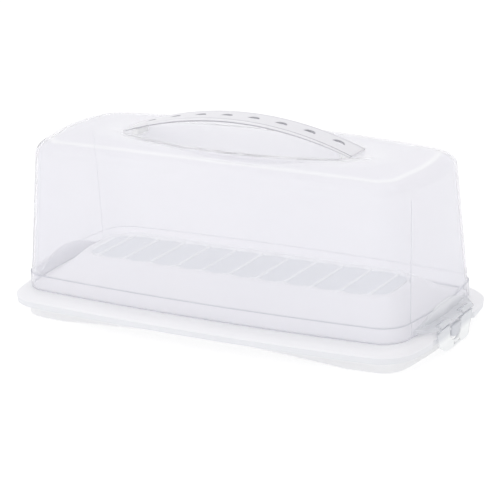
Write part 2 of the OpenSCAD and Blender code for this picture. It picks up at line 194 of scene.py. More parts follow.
def outline(length, width, bow, radius, crease=False, held=None):
    """Plan outlines, one a row. End: x = l + b(1 - f^2), y = f y1. Side: the same with x and y changed over.
    Between them an arc of the given radius. held keeps the middle of the end back to that x."""
    hl, hw, bl, bw, r = (
        np.atleast_1d(np.asarray(v, float))[:, None]
        for v in (length, width, *bow, radius)
    )
    a1 = 0 * hl if crease else np.arctan(2 * bl / (hw - r))
    a2 = np.arctan(2 * bw / (hl - r))
    cx, cy = hl - r * np.cos(a1), hw - r * np.cos(a2)
    end_x = hl + bl * (1 - END**2)
    if held is not None:
        keep = np.asarray(held, float).reshape(-1, 1)
        ease = np.clip((END - 0.572) / 0.046, 0, 1)
        ease = ease * ease * (3 - 2 * ease)
        end_x = np.minimum(end_x, keep) * (1 - ease) + end_x * ease
    turn = a1 + (np.pi / 2 - a2 - a1) * ARC
    x = np.concatenate(
        [end_x, cx + r * np.cos(turn), SIDE * (cx + r * np.sin(a2))], 1
    )
    y = np.concatenate(
        [END * (cy + r * np.sin(a1)), cy + r * np.sin(turn), hw + bw * (1 - SIDE**2)], 1
    )
    go, come = np.arange(QUARTER), np.arange(QUARTER - 2, 0, -1)
    whole_x = np.concatenate(
        [x[:, go], -x[:, come], -x[:, :1], -x[:, go[1:]], x[:, come]], 1
    )
    whole_y = np.concatenate(
        [y[:, go], y[:, come], y[:, :1], -y[:, go[1:]], -y[:, come]], 1
    )
    return whole_x, whole_y


def plan_rings(rows, crease=False):
    """A grid of rings from rows of (length, width, bow_l, bow_w, radius, z, held)."""
    t = np.asarray(rows, float).T
    x, y = outline(t[0], t[1], (t[2], t[3]), t[4], crease, t[6])
    return np.stack([x, y, np.broadcast_to(t[5][:, None], x.shape)], -1)


print("points in one ring:", outline(100, 50, (0, 0), 10)[0].shape[1])


# %% [markdown]
# ## Rounding a profile
#
# A moulded edge is never sharp. Each row of a ring stack is a point of the
# wall's profile, so a corner is rounded by swapping that row for a short
# curve: a quadratic Bezier from a little before it to a little after it.


# %% Round the corners of a profile
def rounded(rows, radii, steps=5):
    """Swaps each inner row for a Bezier curve that starts and ends `radius` away from it."""
    rows = np.asarray(rows, float)
    out = [rows[:1]]
    for before, here, after, radius in zip(rows, rows[1:], rows[2:], radii):
        if radius <= 0:
            out.append(here[None])
            continue
        ends = []
        for other in (before, after):
            reach = math.hypot(other[1] - here[1], other[5] - here[5])
            share = min(0.49, radius / max(reach, 1e-6))
            ends.append(here + (other - here) * share)
        t = np.linspace(0, 1, steps)[:, None]
        out.append((1 - t) ** 2 * ends[0] + 2 * t * (1 - t) * here + t * t * ends[1])
    out.append(rows[-1:])
    return np.concatenate(out)


# %% [markdown]
# ## The tray
#
# The tray is one injection moulding of white polypropylene. From its middle
# outwards it has a sunk deck floor, the deck's edge, a slope down to the flat
# ledge that the hood stands on, a soft lip and an upright rim face. A skin
# through rounded rings gives all of that in one watertight wall, and the
# middle of each end is held back where a clip hangs.

# %% Build the tray
FREE = 1000.0
BL, BW = TRAY_BOW
HL, HW = HOOD_BOW
tray_rows = [
    (DECK_L - 1.5, DECK_W - 1.5, 0, 0, 18.5, DECK_Z - DECK_SINK, FREE),
    (DECK_L, DECK_W, 0, 0, 20, DECK_Z, FREE),
    (DECK_L + 2.5, DECK_W + 2.5, 0, 0, 22, DECK_Z, FREE),
    (DECK_L + 5, DECK_W + 6, 0.5, 0.5, 23, DECK_Z - 2.5, FREE),
    (DECK_L + 12, DECK_W + 17, 1.5, 2, 24, DECK_Z - 9.5, FREE),
    (DECK_L + 20, DECK_W + 28, 3, 4, 23, DECK_Z - 16.5, FREE),
    (HOOD_L - HOOD_WALL - 1.6, HOOD_W - HOOD_WALL - 1.6, HL, HW, 20, LEDGE_Z, FREE),
    (TRAY_L - LIP_RUN + 1.2, TRAY_W - LIP_RUN, BL, BW, 24, LEDGE_Z, FREE),
    (TRAY_L - 4, TRAY_W - 4.5, BL, BW, 27, LEDGE_Z - 1.2, FREE),
    (TRAY_L - 1, TRAY_W - 1.2, BL, BW, 28.4, RIM_TOP + 1.4, NOTCH_X),
    (TRAY_L, TRAY_W, BL, BW, TRAY_R, RIM_TOP, NOTCH_X),
    (TRAY_L - 0.5, TRAY_W - 0.5, BL, BW, TRAY_R, RIM_TOP - 0.45, NOTCH_X - 0.5),
    (TRAY_L - 0.5, TRAY_W - 0.5, BL, BW, TRAY_R, RIM_LOW, NOTCH_X - 0.5),
    (TRAY_L - WALL, TRAY_W - WALL, BL, BW, TRAY_R - WALL, RIM_LOW, NOTCH_X - WALL),
    (TRAY_L - WALL, TRAY_W - WALL, BL, BW, TRAY_R - WALL, RIM_TOP - 0.6, NOTCH_X - WALL),
    (TRAY_L - 4.4, TRAY_W - 5, BL, BW, 25, LEDGE_Z - 1.2 - WALL, NOTCH_X - WALL - 0.8),
    (TRAY_L - LIP_RUN, TRAY_W - LIP_RUN - 0.6, BL, BW, 23, FOOT_TOP, FREE),
    (FOOT_L - 2.6, FOOT_W - 6.5, HL, HW, 19, FOOT_TOP, FREE),
    (DECK_L + 19, DECK_W + 26.5, 3, 4, 22, DECK_Z - 16.5 - WALL, FREE),
    (DECK_L + 11, DECK_W + 15.5, 1.5, 2, 23, DECK_Z - 9.5 - WALL, FREE),
    (DECK_L + 4, DECK_W + 4.5, 0.5, 0.5, 22, DECK_Z - 2.9 - WALL, FREE),
    (DECK_L + 1, DECK_W + 1, 0, 0, 20, DECK_Z - DECK_SINK - WALL, FREE),
]
tray_radii = [0.6, 0.8, 2.0, 3.5, 4, 3, 2.2, 2.4, 1.2, 0.3, 0.2, 0.6, 0.6, 1, 1.2, 1, 1, 3, 4, 2]
tray = make_piece(
    "tray_skin",
    *lofted(plan_rings(rounded(tray_rows, tray_radii))),
    "tray",
    "tray_plastic",
    ["tray_base"],
)

# %% [markdown]
# ## The ribbed deck
#
# Cake stands on eleven low ribs. Between two ribs the floor is a shallow cell
# whose front and back ends are scalloped: the cell reaches a little further
# in its middle than beside the ribs. That is a height over a flat panel, so
# one grid of x and y with a formula for z gives ribs, cells and lip together.


# %% Build the ribbed panel
def panel_height(x, reach, y):
    """Height over the deck's floor: a rounded bar at each rib, and a rise where |y| passes the scallop."""
    nearest = np.clip(np.round(x / RIB_PITCH), -(RIB_N // 2), RIB_N // 2) * RIB_PITCH
    off = np.abs(x - nearest)
    rib = 1 - np.clip((off - 0.45 * RIB_T) / 0.4, 0, 1) ** 0.8
    bulge = 1 - np.clip(off / (RIB_PITCH / 2), 0, 1)
    edge = reach - 0.7 - 2.6 * bulge**1.6
    past = np.clip((np.abs(y) - edge) / 1.6, 0, 1)
    end = np.clip((np.abs(x) - (DECK_L - 3.2)) / 1.6, 0, 1)
    rise = np.maximum(past, end)
    rise = rise * rise * (3 - 2 * rise)
    return (DECK_SINK - 0.12) * np.maximum(rib, rise) + 0.1


PANEL_L, PANEL_W, PANEL_R = DECK_L - 1.4, DECK_W - 1.4, 18.6
floor_z = DECK_Z - DECK_SINK
# Columns stand close together at each rib. Rounding lets two that fall on each other become one.
fine = np.concatenate(
    [i * RIB_PITCH + np.array([-1.4, -1, -0.7, -0.4, 0, 0.4, 0.7, 1, 1.4]) for i in range(-5, 6)]
)
px = np.unique(np.round(np.concatenate([np.linspace(-PANEL_L, PANEL_L, 260), fine]), 6))
inward = np.clip(np.abs(px) - (PANEL_L - PANEL_R), 0, PANEL_R)
half = PANEL_W - PANEL_R + np.sqrt(PANEL_R**2 - inward**2)
v = np.sin(np.linspace(-np.pi / 2, np.pi / 2, 49))
v = 0.35 * v + 0.65 * np.sign(v) * np.abs(v) ** 0.8
gx = np.broadcast_to(px[:, None], (len(px), len(v)))
gy = half[:, None] * v[None, :]
top = np.stack([gx, gy, floor_z + panel_height(gx, half[:, None], gy)], -1)
under = top * [1, 1, 0] + [0, 0, floor_z - 0.4]
rows, cols = top.shape[:2]
index = np.arange(rows * cols).reshape(rows, cols)
quads = grid_quads((rows, cols))
edge = np.concatenate([index[:-1, 0], index[-1, :-1], index[:0:-1, -1], index[0, :0:-1]])
turned = np.roll(edge, -1)
per_side = rows * cols
skirt = np.stack([edge, edge + per_side, turned + per_side, turned], -1)
panel_faces = (
    quads.tolist() + (quads[:, ::-1] + per_side).tolist() + skirt.tolist()
)
panel = make_piece(
    "deck_panel",
    np.concatenate([top.reshape(-1, 3), under.reshape(-1, 3)]),
    panel_faces,
    "tray",
    "rib_plastic",
    ["deck_ribs"],
)

# %% [markdown]
# ## The foot
#
# The tray stands on a thin upright skirt. Under each long side it is cut away
# in a low arch, so that fingers reach under the tray to carry it. The lower
# edge of a ring stack may follow any line, so the arch is a height along x
# and needs no cutting.


# %% Build the foot
def arch(x):
    """Height of the skirt's lower edge: zero at the corners, then h u^0.8 up to the finger gap."""
    up = np.clip((GRIP_L + GRIP_RAMP - np.abs(x)) / GRIP_RAMP, 0, 1)
    return GRIP_H * up**0.8


def foot_ring(inset, share):
    """One ring of the skirt: `share` goes from 0 at the lower edge to 1 at the top."""
    x, y = outline(FOOT_L - inset, FOOT_W - inset, HOOD_BOW, FOOT_R - inset)
    long_side = np.abs(y) > FOOT_W - 1
    edge_z = np.where(long_side, arch(x), 0)
    z = edge_z + share * (FOOT_TOP + 0.2 - edge_z)
    return np.stack([x, y, z], -1)[0]


shares = [1, 0.8, 0.6, 0.4, 0.2, 0.06]
foot_grid = np.stack(
    [foot_ring(0, s) for s in shares]
    + [foot_ring(0.15, 0.02), foot_ring(0.5, 0), foot_ring(1.4, 0), foot_ring(1.75, 0.02)]
    + [foot_ring(FOOT_WALL, s) for s in shares[::-1]]
)
foot = make_piece(
    "foot_skin",
    foot_grid.reshape(-1, 3),
    ring_faces(*foot_grid.shape[:2], loop=True),
    "tray",
    "tray_plastic",
    ["foot_skirt"],
)

# %% [markdown]
# ## The hood
#
# The hood is moulded thin in natural polypropylene. Its crown sinks in a long
# lens-shaped hollow under the strap, so that a hand fits. Every ring has the
# same number of points, so the hollow's ellipse, the crown, the round
# shoulder, the leaning walls and the collar are rings of one stack, outside
# first and then the inside, one wall thickness further in.


# %% Rings of the hood
# Painted light: HOLLOW_MARK paints the hollow brighter, and SKY_MARK paints a highlight on the shoulder's
# start above SKY_ANGLE.
HOLLOW_MARK, SKY_MARK, SKY_ANGLE = -0.5, -1, 70


def crown(x, y):
    """Height of the crown: it falls gently with |x| and |y|."""
    return CROWN_Z - 3.6 * (np.abs(x) / 150) ** 2.4 - 2.2 * (np.abs(y) / 50) ** 2.2


def hood_outline(length, width, radius):
    """The plan outline of the hood, whose end walls meet the corners at a line."""
    x, y = outline(length, width, HOOD_BOW, radius, crease=True)
    return x[0], y[0]


def recess_ring(s, grow, drop):
    """Share s of the hollow's ellipse. It deepens as (1 - s^2)^1.5."""
    ox, oy = hood_outline(SHOULDER_L, SHOULDER_W, HOOD_R)
    a = np.arctan2(oy / SHOULDER_W, ox / SHOULDER_L)
    x = s * (RECESS_L + grow) * np.cos(a)
    y = s * (RECESS_W + grow) * np.sign(np.sin(a)) * np.abs(np.sin(a)) ** 1.1
    return np.stack([x, y, crown(x, y) - RECESS_D * (1 - s * s) ** 1.5 - drop], -1)


def crown_ring(t, grow, drop):
    """Share t of the way from the hollow's edge to the start of the shoulder."""
    inset = SHOULDER_R + grow
    ox, oy = hood_outline(SHOULDER_L - inset, SHOULDER_W - inset, HOOD_R - SHOULDER_R / 2)
    q = recess_ring(1, grow, drop)
    x, y = ox * t + q[:, 0] * (1 - t), oy * t + q[:, 1] * (1 - t)
    return np.stack([x, y, crown(x, y) - drop], -1)


def shoulder_ring(angle, grow):
    """A quarter ellipse from the crown, at 90 degrees, to the wall, at 0."""
    a = math.radians(angle)
    inset = SHOULDER_R * (1 - math.cos(a))
    edge = crown_ring(1, grow, grow)[:, 2]
    x, y = hood_outline(
        SHOULDER_L - inset - grow, SHOULDER_W - inset - grow, HOOD_R - inset / 2 - grow / 2
    )
    return np.stack([x, y, SHOULDER_Z + (edge - SHOULDER_Z) * math.sin(a)], -1)


def wall_ring(length, width, radius, z):
    """A level ring of the hood's wall."""
    x, y = hood_outline(length, width, radius)
    return np.stack([x, y, np.full_like(x, z)], -1)


def side(inset, sign):
    """One side of the wall from the hollow's middle to the foot, with a mark for each ring."""
    rings, painted_light_and_shade = [], []
    for s in np.linspace(0.02, 1, 26):
        rings.append(recess_ring(s, inset, inset))
        painted_light_and_shade.append(HOLLOW_MARK)
    for t in np.linspace(0, 1, 9)[1:]:
        rings.append(crown_ring(t, inset, inset))
        painted_light_and_shade.append(min(0, t + HOLLOW_MARK))
    for angle in np.linspace(84, 0, 15):
        rings.append(shoulder_ring(angle, inset))
        painted_light_and_shade.append(SKY_MARK if angle > SKY_ANGLE else 0)
    foot_z, step = HOOD_Z + COLLAR_H, COLLAR_OUT
    for share in np.linspace(0, 1, 13)[1:]:
        rings.append(
            wall_ring(
                SHOULDER_L + (HOOD_L - step - SHOULDER_L) * share - inset,
                SHOULDER_W + (HOOD_W - step - SHOULDER_W) * share - inset,
                HOOD_R - inset,
                SHOULDER_Z + (foot_z + 1.0 - SHOULDER_Z) * share,
            )
        )
        painted_light_and_shade.append(0)
    # Marks of one paint a shade line along the collar's step and the lower edge, where the eye also passes
    # through more plastic.
    ledge = [
        (0.75, 0.75, 0), (0.45, 0.55, 1), (0.12, 0.3, 1), (0.0, 0.0, 0), (0, -0.8, 0),
    ]
    lower_edge = [(0, 6.5, 0), (0, 2.5, 0), (0, 0.9, 0), (0, 0.3, 1), (0.2 * sign, 0, 1)]
    for from_z, steps in ((foot_z, ledge), (HOOD_Z, lower_edge)):
        for out, up, mark in steps:
            size = HOOD_L - out - inset, HOOD_W - out - inset, HOOD_R - inset
            rings.append(wall_ring(*size, from_z + up))
            painted_light_and_shade.append(mark)
    return rings, painted_light_and_shade


outer, outer_painted_marks = side(0, 1)
inner, inner_painted_marks = side(HOOD_WALL, -1)
hood_grid = np.stack(outer + inner[::-1])
hood_points, hood_faces = lofted(hood_grid)
hood = make_piece("hood_skin", hood_points, hood_faces, "hood", "hood_plastic", ["hood_shell"])

# %% [markdown]
# ## Painted shade and painted light on the hood
#
# Shade is painted into the hood's colour: thin grey lines at the step of the
# collar and at the lower edge, where the eye also passes through more
# plastic, a dark line down each corner crease and, faintly, shade low on the
# walls and over the end walls. Light is painted in too: the hollow is
# brighter, and the start of the shoulder has a painted highlight. One number
# a point holds that, above zero for painted shade and below zero for painted
# light, and the finish reads it.


# %% Mark the hood's painted shade and painted light
def write_marks(piece, values):
    """Keeps one number a point on the piece as an attribute that its finish reads: above zero for painted
    shade, below zero for painted light.
    """
    marks = piece.data.attributes.new("painted_light_and_shade", "FLOAT", "POINT")
    marks.data.foreach_set("value", values.astype(np.float32))
    print(f"{piece.name}: {int((values > 0).sum())} shaded points")


# Painted shade low on the wall starts at LOW_Z, and over an end wall at END_X; both marks grow from there.
INNER_SHARE = 0.3
LOW_Z, LOW_RUN, END_X, END_RUN = 80, 60, 154, 8
seen_from_inside = [v * INNER_SHARE if v > 0 else v for v in inner_painted_marks[::-1]]
whole = hood_grid.shape[1]
mark = np.repeat(np.array(outer_painted_marks + seen_from_inside, float)[:, None], whole, 1)
corner_at = len(END) - 1
corner = np.zeros(whole)
corner[[corner_at, whole // 2 - corner_at, whole // 2 + corner_at, whole - corner_at]] = 1
on_outside = np.arange(len(hood_grid)) < len(outer)
wall = ((hood_grid[..., 2].mean(1) < SHOULDER_Z) & on_outside) * 1.0
# Painted shade: a thin dark line down each corner crease of the outside wall.
line = wall[:, None] * corner[None, :]
lowness = np.clip((LOW_Z - hood_grid[..., 2]) / LOW_RUN, 0, 1) ** 2
at_end = np.clip((np.abs(hood_grid[..., 0]) - END_X) / END_RUN, 0, 1)
# Painted shade, darker towards the bottom of the outside wall and more so on the end walls.
low_end_painted_shade = on_outside[:, None] * (lowness * (0.02 + 0.12 * at_end) + 0.05 * at_end)
mark = np.where(mark < 0, mark, np.maximum.reduce([mark, line, low_end_painted_shade]))
write_marks(hood, np.append(mark.ravel(), [HOLLOW_MARK, HOLLOW_MARK]))

# %% [markdown]
# ## The carrying strap
#
# The strap is a shallow arch with a bead along each edge and eight half-moon
# grips through it. A hole in a grid is easiest as its own small patch: rings
# that go from the hole's outline to the square cell round it. Eight cells,
# two end pieces and the beaded edges share their border points, so merging
# what coincides makes one closed piece.


# %% Arch, grip and cell
CELL_W = 9.0
HOLE_STEPS = 12
CELLS_L = HOLE_N / 2 * HOLE_PITCH
END_SHIFT, LAST_GRIP = 3.0, 82.0
cell_middles = (np.arange(HOLE_N) - (HOLE_N - 1) / 2) * HOLE_PITCH


def bend(x, y, depth):
    """Lays a flat strip on the arch. Depth runs down from its top, at a right angle to it."""
    angle = np.arcsin(x / STRAP_R)
    radius = STRAP_R - depth * (1 - 0.5 * (np.abs(x) / STRAP_L) ** 3)
    return np.stack(
        [radius * np.sin(angle), y + 0 * x, STRAP_TOP - STRAP_R + radius * np.cos(angle)], -1
    )


def half_moon(count):
    """The grip's outline, `count` points a quarter: a disc cut by a straight front edge."""
    r = HOLE_L / 2
    cut = HOLE_FRONT - (HOLE_BACK - r)
    start = math.asin(cut / r)
    a = np.linspace(start, np.pi - start, 3 * count + 1)[:-1]
    arc = np.stack([r * np.cos(a), HOLE_BACK - r + r * np.sin(a)], -1)
    x = np.linspace(-r * math.cos(start), r * math.cos(start), count + 1)[:-1]
    return np.concatenate([arc, np.stack([x, np.full_like(x, HOLE_FRONT)], -1)])


def cell_border(count):
    """The cell's outline, `count` steps a side, from its front right corner round by +Y."""
    t = np.linspace(0, 1, count + 1)[:-1]
    w, h = HOLE_PITCH / 2, CELL_W
    return np.concatenate(
        [
            np.stack([np.full_like(t, w), -h + 2 * h * t], -1),
            np.stack([w - 2 * w * t, np.full_like(t, h)], -1),
            np.stack([np.full_like(t, -w), h - 2 * h * t], -1),
            np.stack([-w + 2 * w * t, np.full_like(t, -h)], -1),
        ]
    )


def grip_shift(x):
    """Grips near the ends sit further back: by END_SHIFT at the last ones, growing as |x|^3."""
    return END_SHIFT * (np.abs(x) / LAST_GRIP) ** 3


print("last grips sit back by", round(float(grip_shift(cell_middles[-1])), 2), "mm")

# %% Eight cells with their grips
all_points, all_faces = [], []


def put(points, faces, flip=False):
    """Adds one patch to the strap, its faces turned over if flip is set."""
    start = sum(len(p) for p in all_points)
    step = -1 if flip else 1
    all_points.append(points.reshape(-1, 3))
    all_faces.extend((np.asarray(face)[::step] + start).tolist() for face in faces)


hole, border = half_moon(HOLE_STEPS), cell_border(HOLE_STEPS)
spread = np.array([0, 0.08, 0.25, 0.5, 0.75, 1])[:, None, None]
patch = hole * (1 - spread) + border * spread
lip = np.array([0.35, 0, 0, 0, 0, 0])[:, None]
cell_faces = ring_faces(len(spread), len(border))
for mid_x in cell_middles:
    x = patch[..., 0] + mid_x
    y = patch[..., 1] + grip_shift(mid_x) * (1 - spread[..., 0])
    above, below = bend(x, y, lip + 0 * x), bend(x, y, STRAP_T + 0 * x)
    put(above, cell_faces, flip=True)
    put(below, cell_faces)
    put(np.stack([above[0], below[0]]), ring_faces(2, len(border)))
print("patches for the grips:", len(all_points))

# %% The strap's two ends
side_y = -CELL_W + 2 * CELL_W * np.linspace(0, 1, HOLE_STEPS + 1)
tail = np.linspace(CELLS_L, STRAP_L, 5)
for s in (-1, 1):
    gx, gy = np.meshgrid(tail * s, side_y, indexing="ij")
    put(bend(gx, gy, 0 * gx), grid_quads(gx.shape), flip=s < 0)
    put(bend(gx, gy, STRAP_T + 0 * gx), grid_quads(gx.shape), flip=s > 0)
    end_x = s * STRAP_L + 0 * side_y
    close = np.stack([bend(end_x, side_y, depth + 0 * side_y) for depth in (0, STRAP_T)])
    put(close, grid_quads(close.shape[:2]), flip=s < 0)
print("patches with both ends:", len(all_points))

# %% The beaded edges and the legs
half_w = STRAP_W / 2
cell_x = np.linspace(-0.5, 0.5, HOLE_STEPS + 1)[:-1] * HOLE_PITCH
long_x = np.concatenate([-tail[:0:-1], *(cell_x + x for x in cell_middles), tail])
# The bead's profile: distance from the strap's middle line, and depth under its top.
bead = np.array(
    [
        (CELL_W, 0), (10.0, 0), (10.3, 0.1), (10.5, 0.5), (10.9, 0.6), (11.15, 0.2), (11.5, 0.0),
        (11.95, 0.12), (half_w - 0.05, 0.5), (half_w, 1.0), (half_w, 1.9), (half_w - 0.1, 2.4),
        (half_w - 0.45, 2.72), (half_w - 0.9, STRAP_LIP), (half_w - 1.4, 2.72),
        (half_w - 1.7, 2.4), (half_w - 1.9, STRAP_T), (CELL_W, STRAP_T),
    ]
)
# A leg's size in plan, and its profile: how far it grows past that size, and height.
LEG_L, LEG_W, LEG_R = 3.0, 8.0, 1.5
leg_profile = [(0.9, 141.9), (0.8, 141.2), (0.2, 140.4), (0, 139.4), (0, 136.0), (-0.6, 135.6)]
leg_rings = plan_rings([(LEG_L + g, LEG_W + g, 0, 0, LEG_R, z, FREE) for g, z in leg_profile])
for s in (-1, 1):
    edge_y = s * bead[:, 0]
    gx, gy = np.meshgrid(long_x, edge_y, indexing="ij")
    gd = np.broadcast_to(bead[None, :, 1], gx.shape)
    put(bend(gx, gy, gd), grid_quads(gx.shape), flip=s < 0)
    for at, flip in ((0, s > 0), (-1, s < 0)):
        ring = bend(np.full(len(bead), long_x[at]), edge_y, bead[:, 1])
        fan = fan_faces(len(bead), 0, len(bead), flip)
        put(np.concatenate([ring, ring.mean(0)[None]]), fan)
for s in (-1, 1):
    put(*lofted(leg_rings + [s * (STRAP_L - 8), 0, 0]))


# %% Join patches into one closed piece
def merged(name, points, faces, body, slot, stands_for, gap=0.02):
    """Makes a piece from patches: merges the points that coincide and turns all faces outwards."""
    piece = make_piece(name, points, faces, body, slot, stands_for)
    work = bmesh.new()
    work.from_mesh(piece.data)
    bmesh.ops.remove_doubles(work, verts=work.verts, dist=gap * MM)
    bmesh.ops.recalc_face_normals(work, faces=work.faces)
    loose = [e for e in work.edges if not e.is_manifold]
    work.to_mesh(piece.data)
    work.free()
    print(f"{name}: {len(loose)} open edges")
    return piece


strap_points = np.concatenate(all_points)
strap = merged("strap_skin", strap_points, all_faces, "hood", "handle_plastic", ["handle"])

# %% [markdown]
# ## Shade in the strap's small forms
#
# On the real strap the groove beside each bead, the underside of the edge and
# the walls of the grips lie in shade, and the bead's face catches the light.
# These forms are a pixel or two wide from a step away, so the render's own
# soft light hardly tells them apart. The same mark as on the hood paints that
# shade and that light into the colour, and paints the legs under the strap's
# ends brighter, against the shade they stand in.

# %% Mark the strap's painted shade and painted light
where = np.empty(len(strap.data.vertices) * 3)
strap.data.vertices.foreach_get("co", where)
x, y, z = where.reshape(-1, 3).T / MM
wide = np.abs(y)
depth = STRAP_R - np.hypot(x, z - STRAP_TOP + STRAP_R)
depth = depth / (1 - 0.5 * (np.abs(x) / STRAP_L) ** 3)
groove = (wide > 10.4) & (wide < 11.1) & (depth < 0.9)
under = (wide > half_w - 0.5) * np.clip((depth - 1.5) / 0.7, 0, 1)
bead_face = (wide > half_w - 0.1) & (depth < 1.5) & (depth > 0.4)
leg = (wide < CELL_W) & (depth > STRAP_T + 0.5)
cell_at = (np.floor(x / HOLE_PITCH) + 0.5) * HOLE_PITCH
from_grip = np.hypot(x - cell_at, y - (HOLE_BACK - HOLE_L / 2) - grip_shift(cell_at))
in_grip = (from_grip < HOLE_L / 2 + 0.35) & (wide < CELL_W) & (np.abs(x) < CELLS_L)
wall_of_grip = in_grip & (((depth > 0.2) & (depth < 0.5)) | (depth > STRAP_T - 0.3))
shade = np.maximum.reduce([groove * 1.0, under * 0.6, wall_of_grip * 0.55])
# Painted shade in the groove, under the edge and on the grip walls; a painted highlight on the bead's face
# and painted light on the legs.
write_marks(strap, shade - bead_face * 0.5 - leg * 1.0)

# %% [markdown]
# ## The brackets
#
# At each short end the hood grows a bracket that reaches over the rim: an
# arch-topped pad against the wall, a plate that falls outwards and a bar that
# the clip hangs from. The plate is a prism between two tilted planes, and a
# Bevel modifier rounds its edges as a moulded part's are. The left end is
# the right one mirrored; its faces are turned outwards again by merging.


# %% Solids for the two ends
def prism(outline_points, low, high):
    """A closed solid: an outline's points at `low` and `high`, its two ends and a quad a side."""
    count = len(outline_points)
    points = np.concatenate([low, high])
    i = np.arange(count)
    j = (i + 1) % count
    sides = np.stack([i, j, j + count, i + count], -1).tolist()
    return points, sides + [i[::-1].tolist(), (i + count).tolist()]


def end_piece(name, patches, sign, body, slot, stands_for, soft=0.0):
    """Stacks patches made for the +X end, mirrors them for sign -1, and rounds edges by `soft` mm."""
    points, faces, start = [], [], 0
    for part, part_faces in patches:
        part = np.asarray(part, float).reshape(-1, 3)
        points.append(part * [sign, 1, 1])
        faces += [(np.asarray(f) + start).tolist() for f in part_faces]
        start += len(part)
    piece = merged(name, np.concatenate(points), faces, body, slot, stands_for)
    if soft:
        bevel = piece.modifiers.new("soft_edges", "BEVEL")
        bevel.width, bevel.segments, bevel.limit_method = soft * MM, 2, "ANGLE"
        bevel.harden_normals = True
    return piece


def wall_at(y):
    """The hood's end in plan: x = l + b (1 - (y / h)^2), where h is half the end's width."""
    return HOOD_L + HOOD_BOW[0] * (1 - (y / (HOOD_W - HOOD_R)) ** 2)


# %% Build the brackets
def bracket_plate():
    """Plan: from the wall to the narrower bar, with room for the two knuckles."""
    y = np.linspace(EAR_HW, -EAR_HW, 19)
    wall = np.column_stack([wall_at(y) - EAR_ROOT, y])
    room = HINGE_X - KNUCKLE_R - 0.5
    near, far = KNUCKLE_IN - KNUCKLE_ROOM, KNUCKLE_OUT + KNUCKLE_ROOM
    edge = [
        (HINGE_X, -BAR_HW), (HINGE_X, -far), (room, -far), (room, -near), (HINGE_X, -near),
        (HINGE_X, near), (room, near), (room, far), (HINGE_X, far), (HINGE_X, BAR_HW),
    ]
    plan = np.concatenate([wall, edge])
    share = ((plan[:, 0] - SHOULDER_L) / (HINGE_X - SHOULDER_L))[:, None]
    upper = np.column_stack([plan, HINGE_Z + 3.6 - 2.1 * share])
    lower = np.column_stack([plan, HINGE_Z - 0.6 - 0.9 * share])
    return prism(plan, lower, upper)


def bracket_pad():
    """Sections along y, closed profiles whose top follows the arch z = h - r + sqrt(r^2 - y^2)."""
    half = EAR_HW - 2
    y = half * np.sin(np.linspace(-np.pi / 2, np.pi / 2, 61))[:, None]
    r = (half**2 + EAR_RISE**2) / (2 * EAR_RISE)
    rise = EAR_RISE - r + np.sqrt(r * r - y * y)
    out = np.array([[-EAR_ROOT, EAR_PAD, EAR_PAD, 1.28, 1.0, 0.5, -EAR_ROOT]])
    drop = np.array([[9.0, 9.0, 1.1, 0.55, 0.18, 0.0, 0.0]])
    z = np.where(drop > 5, -0.4, np.maximum(rise - drop * np.minimum(1, rise / 2), -0.39))
    grid = np.stack([wall_at(y) + out, y + 0 * out, HINGE_Z + z], -1)
    return lofted(grid)


def round_bar():
    """Rings of the hinge bar along y, a little smaller at its two ends."""
    y = np.array([-BAR_HW, 0.15 - BAR_HW, 0.5 - BAR_HW, 0, BAR_HW - 0.5, BAR_HW - 0.15, BAR_HW])[:, None]
    radius = np.array([1.1, 1.36, BAR_R, BAR_R, BAR_R, 1.36, 1.1])[:, None]
    a = np.linspace(0, 2 * np.pi, 25)[None, :-1]
    x, z = HINGE_X + radius * np.cos(a), HINGE_Z + radius * np.sin(a)
    return lofted(np.stack([x, y + 0 * a, z], -1))


ENDS = (("right", 1), ("left", -1))
bracket_parts = [bracket_plate(), bracket_pad(), round_bar()]
brackets = [
    end_piece(f"bracket_{end}", bracket_parts, sign, "hood", "ear_plastic", [f"ear_{end}"], 0.35)
    for end, sign in ENDS
]

# %% [markdown]
# ## The clips and their catches
#
# A clip is a flap with a window, open at the top, so seen from the end it is
# a broad U: a ribbon between the window's edge and the flap's outline. Both
# lines get the same number of points, and a rounded section runs from one
# to the other. Its foot kicks outwards so that a finger can pull it. Two
# slotted knuckles hang it on the bar. The catch is a rounded tongue on the
# tray's rim that the window drops over.


# %% Build the clips
def resampled(line, count, passes):
    """Spreads `count` points evenly along a line and rounds its corners by averaging neighbours."""
    line = np.asarray(line, float)
    run = np.concatenate([[0], np.cumsum(np.hypot(*np.diff(line, axis=0).T))])
    at = np.linspace(0, run[-1], count)
    line = np.stack([np.interp(at, run, line[:, 0]), np.interp(at, run, line[:, 1])], -1)
    for _ in range(passes):
        line[1:-1] = (line[:-2] + 2 * line[1:-1] + line[2:]) / 4
    return line


